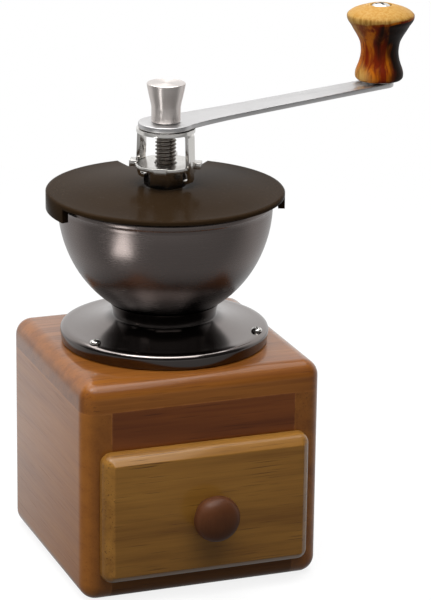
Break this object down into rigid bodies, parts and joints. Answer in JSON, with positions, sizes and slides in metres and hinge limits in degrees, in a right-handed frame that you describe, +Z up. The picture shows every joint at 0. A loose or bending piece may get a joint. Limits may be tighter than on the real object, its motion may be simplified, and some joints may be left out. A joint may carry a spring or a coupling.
{
  "type": "manual coffee grinder",
  "caption": "Hand cranked coffee grinder: a wooden box with a drawer, a metal hopper bowl on a flared foot, a plastic lid, conical burrs, and a steel crank with a wooden grip.",
  "frame": {"origin": "on the floor under the crank's axis, at the middle of the box", "axes": "+Z up along the crank's axis, -Y towards the drawer's front, +X to the right of someone who faces the drawer"},
  "size_m": [0.1718, 0.1208, 0.2137],
  "materials": {
    "box_wood": "satin oiled",
    "rail_wood": "satin oiled",
    "drawer_wood": "satin oiled",
    "inner_wood": "matt",
    "brown_lacquer": "gloss lacquer",
    "bronzed_steel": "satin",
    "bronzed_foot": "gloss",
    "brown_plastic": "satin",
    "bright_steel": "polished",
    "brushed_steel": "brushed",
    "dark_steel": "satin",
    "spring_steel": "satin",
    "brass": "satin",
    "nylon": "matt",
    "ceramic": "fired ceramic, matt",
    "grip_wood": "gloss lacquer"
  },
  "bodies": {
    "frame": {"top_board": "box_wood", "left_board": "box_wood", "right_board": "box_wood", "back_board": "box_wood", "bottom_board": "box_wood", "front_rail": "rail_wood", "hopper_foot": "bronzed_foot", "foot_screw_1": "bright_steel", "foot_screw_2": "bright_steel", "foot_screw_3": "bright_steel", "hopper_bowl": "bronzed_steel", "bridge": "bright_steel", "upper_bush": "nylon", "thrust_washer": "brass", "burr_holder": "nylon", "holder_screw_1": "bright_steel", "holder_screw_2": "bright_steel", "holder_screw_3": "bright_steel", "outer_burr": "ceramic"},
    "drawer": {"drawer_front": "drawer_wood", "drawer_inner_front": "inner_wood", "drawer_left_side": "inner_wood", "drawer_right_side": "inner_wood", "drawer_back": "inner_wood", "drawer_bottom": "inner_wood", "drawer_knob": "brown_lacquer", "drawer_knob_screw": "bright_steel"},
    "lid": {"lid": "brown_plastic"},
    "adjuster": {"adjusting_nut": "bright_steel"},
    "crank": {"shaft": "dark_steel", "inner_burr": "ceramic", "burr_washer": "bright_steel", "burr_nut": "bright_steel", "spring_seat": "bright_steel", "spring": "spring_steel", "stopper_cage": "bright_steel", "crank_arm": "brushed_steel", "knob_spindle": "bright_steel", "knob_washer": "bright_steel", "knob_screw": "bright_steel"},
    "cap": {"cap_nut": "brushed_steel"},
    "grip": {"crank_knob": "grip_wood"}
  },
  "joints": [
    {"name": "crank_turn", "type": "hinge", "parent": "frame", "child": "adjuster", "pos_m": [0, 0, 0.163], "axis": [0, 0, 1], "continuous": true},
    {"name": "burr_gap", "type": "slide", "parent": "adjuster", "child": "crank", "axis": [0, 0, -1], "range_m": [0, 0.0012], "deforming": ["spring"]},
    {"name": "cap_nut_lift", "type": "slide", "parent": "crank", "child": "cap", "axis": [0, 0, 1], "range_m": [0, 0.022]},
    {"name": "grip_spin", "type": "hinge", "parent": "crank", "child": "grip", "pos_m": [0.108, 0.03803, 0.197], "axis": [0, 0, 1], "continuous": true},
    {"name": "drawer_slide", "type": "slide", "parent": "frame", "child": "drawer", "axis": [0, -1, 0], "range_m": [0, 0.06]},
    {"name": "lid_turn", "type": "hinge", "parent": "frame", "child": "lid", "pos_m": [0, 0, 0.149], "axis": [0, 0, 1], "continuous": true}
  ]
}
